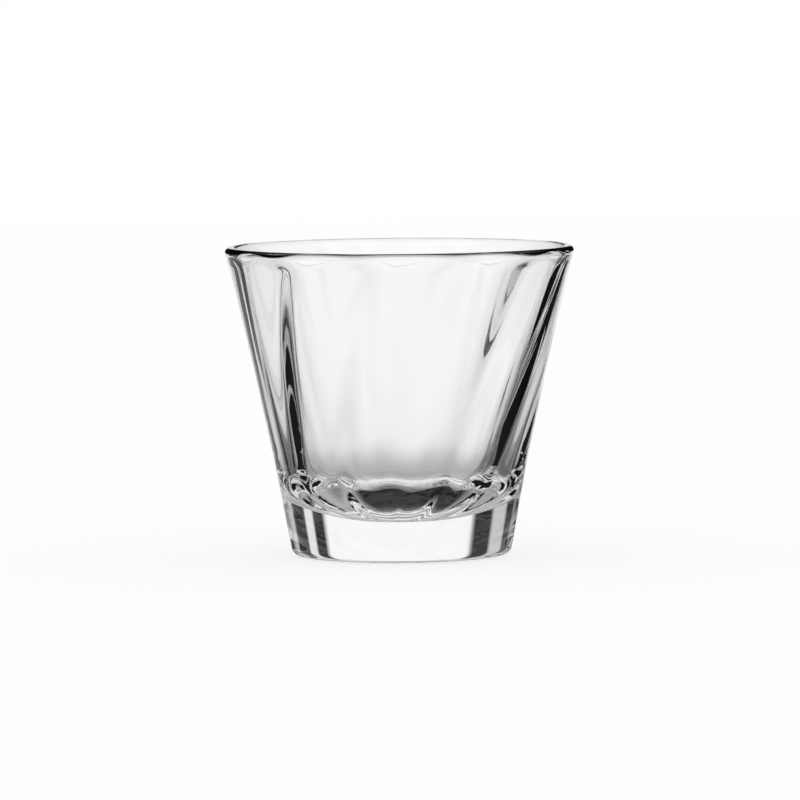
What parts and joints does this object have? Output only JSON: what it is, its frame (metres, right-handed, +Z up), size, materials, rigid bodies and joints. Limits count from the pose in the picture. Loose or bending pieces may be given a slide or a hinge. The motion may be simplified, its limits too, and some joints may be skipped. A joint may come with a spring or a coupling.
{
  "type": "espresso glass",
  "caption": "Small conical tumbler of thick clear glass with a heavy base, a rounded lip and twisted flutes inside its well, for serving a short coffee.",
  "frame": {"origin": "middle of the foot, on the plane that the glass stands on", "axes": "+Z up along the axis of the tumbler; -Y is the side that faces the viewer and +X is to the viewer's right"},
  "size_m": [0.07, 0.07, 0.062],
  "materials": {
    "glass": "clear and glossy, fire-polished, with soft ripples from pressing"
  },
  "bodies": {
    "root": {"glass": "glass"}
  },
  "joints": []
}
